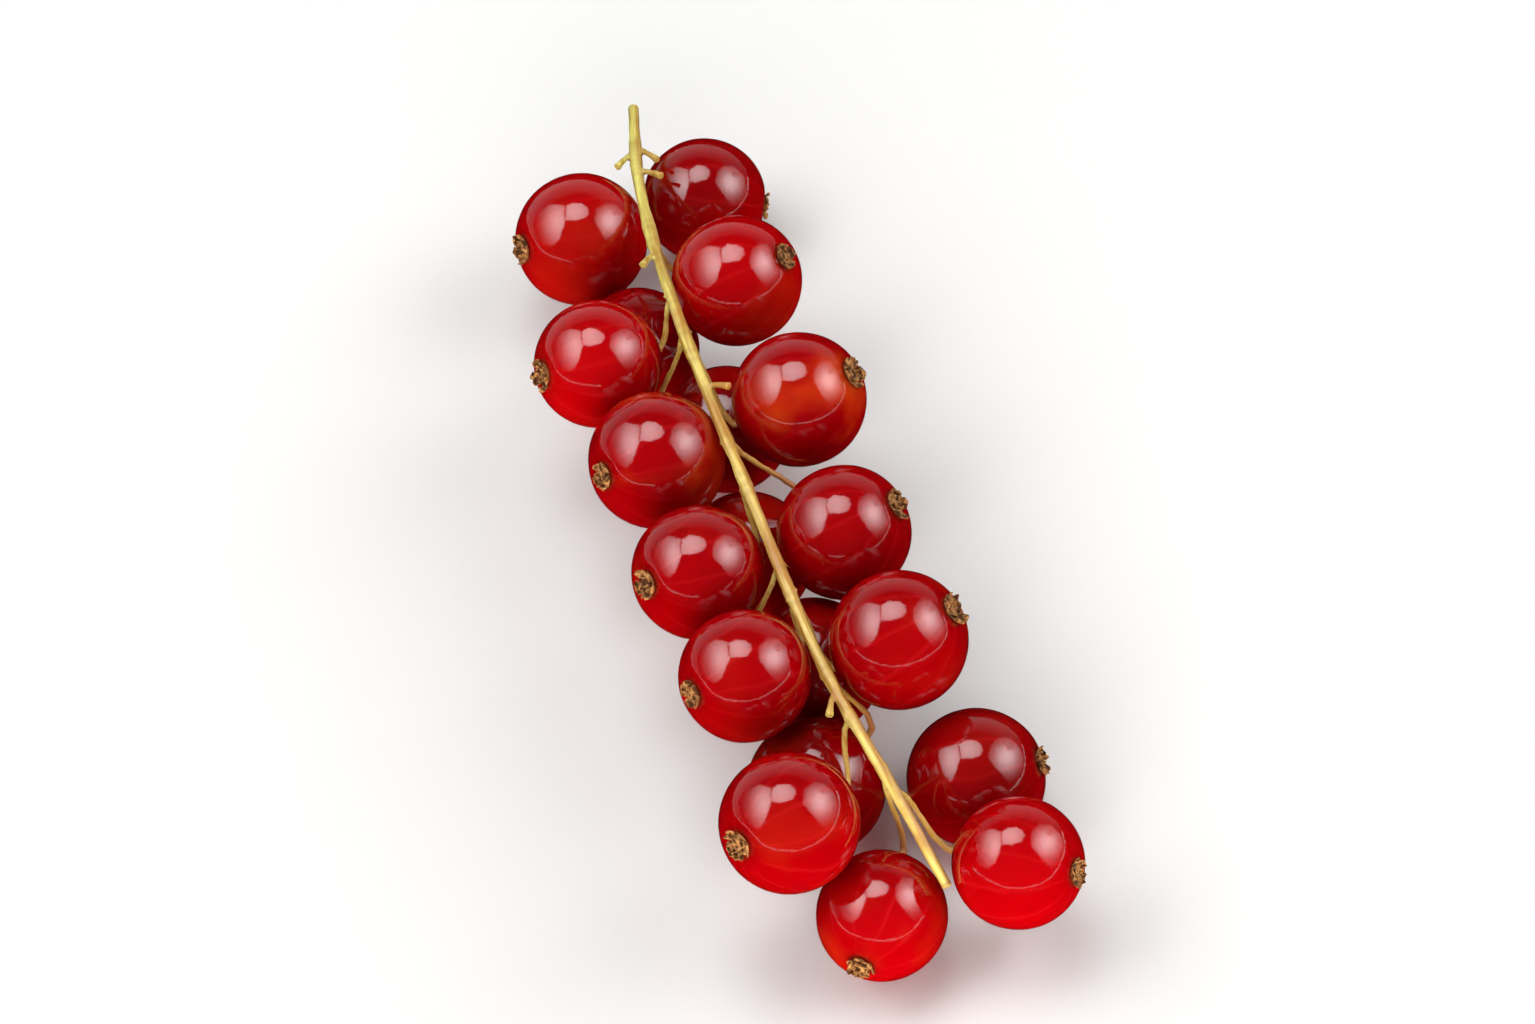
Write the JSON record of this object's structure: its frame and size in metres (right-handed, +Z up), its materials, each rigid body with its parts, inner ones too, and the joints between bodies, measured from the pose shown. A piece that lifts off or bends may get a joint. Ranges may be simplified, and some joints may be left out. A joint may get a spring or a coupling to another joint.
{
  "type": "sprig of redcurrants",
  "caption": "Picked sprig of ripe redcurrants lying on its side: round glossy berries with dried flower ends on short stalks along one green stem.",
  "frame": {"origin": "on the surface that the sprig lies on, under the middle of its box", "axes": "+Y along the main stem towards its cut end, +Z up, away from the surface, +X across the stem"},
  "size_m": [0.025, 0.0742, 0.0159],
  "materials": {
    "stem": "yellow-green living stem, waxy, with rust-brown shading",
    "berry": "glossy, deep red, translucent fruit skin",
    "dried_flower": "dry, brown, withered and matt"
  },
  "bodies": {
    "root": {"stem": "stem", "berry_01": "berry", "dried_flower_01": "dried_flower", "berry_02": "berry", "dried_flower_02": "dried_flower", "berry_03": "berry", "dried_flower_03": "dried_flower", "berry_04": "berry", "dried_flower_04": "dried_flower", "berry_05": "berry", "dried_flower_05": "dried_flower", "berry_06": "berry", "dried_flower_06": "dried_flower", "berry_07": "berry", "dried_flower_07": "dried_flower", "berry_08": "berry", "dried_flower_08": "dried_flower", "berry_09": "berry", "dried_flower_09": "dried_flower", "berry_10": "berry", "dried_flower_10": "dried_flower", "berry_11": "berry", "dried_flower_11": "dried_flower", "berry_12": "berry", "dried_flower_12": "dried_flower", "berry_13": "berry", "dried_flower_13": "dried_flower", "berry_14": "berry", "dried_flower_14": "dried_flower", "berry_15": "berry", "dried_flower_15": "dried_flower", "berry_16": "berry", "dried_flower_16": "dried_flower", "berry_17": "berry", "dried_flower_17": "dried_flower", "berry_18": "berry", "dried_flower_18": "dried_flower", "berry_19": "berry", "dried_flower_19": "dried_flower"}
  },
  "joints": []
}
